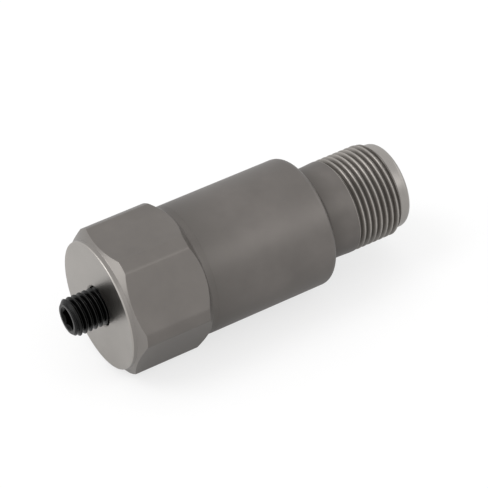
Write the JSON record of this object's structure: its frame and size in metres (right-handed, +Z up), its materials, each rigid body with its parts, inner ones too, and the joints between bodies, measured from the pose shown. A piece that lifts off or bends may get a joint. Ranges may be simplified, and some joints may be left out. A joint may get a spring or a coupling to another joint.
{
  "type": "vibration sensor",
  "caption": "Industrial vibration sensor: hexagonal stainless base with a threaded mounting stud, turned sleeve and threaded round connector.",
  "frame": {"origin": "centre of the footprint at the lowest flat of the hexagon; half of the overall length, stud included, lies on each side", "axes": "+X along the sensing axis from the mounting stud to the connector, +Z up, normal to the hexagon's upper flat"},
  "size_m": [0.0596, 0.0242, 0.022],
  "materials": {
    "stainless_steel": "satin turned",
    "black_oxide_steel": "black oxide",
    "insulator_plastic": "moulded",
    "gold_plate": "gold plated",
    "alumina": "lapped",
    "piezo_ceramic": "lapped",
    "brass": "bright",
    "tungsten": "turned",
    "spring_steel": "bright",
    "amber_film": "film",
    "white_fluoropolymer": "waxy",
    "board_green": "solder mask",
    "chip_black": "moulded",
    "capacitor_tan": "fired",
    "resistor_dark": "glazed",
    "lead_red": "wire insulation",
    "lead_white": "wire insulation"
  },
  "bodies": {
    "root": {"mounting_stud": "black_oxide_steel", "sensor_base": "stainless_steel", "housing_sleeve": "stainless_steel", "connector_shell": "stainless_steel", "connector_insulator": "insulator_plastic", "contact_pin_a": "gold_plate", "contact_pin_b": "gold_plate", "isolation_disc": "alumina", "element_pedestal": "stainless_steel", "post_sleeve": "white_fluoropolymer", "lower_insulating_washer": "alumina", "piezo_ring_lower": "piezo_ceramic", "signal_electrode": "brass", "piezo_ring_upper": "piezo_ceramic", "contact_washer": "brass", "seismic_mass": "tungsten", "disc_spring": "spring_steel", "preload_nut": "spring_steel", "shield_cap": "stainless_steel", "insulating_liner": "amber_film", "board_spacer": "white_fluoropolymer", "circuit_board": "board_green", "amplifier_chip": "chip_black", "chip_capacitor_a": "capacitor_tan", "chip_capacitor_b": "capacitor_tan", "chip_resistor_a": "resistor_dark", "chip_resistor_b": "resistor_dark", "supply_lead_a": "lead_red", "supply_lead_b": "lead_white", "signal_lead": "lead_white"}
  },
  "joints": []
}
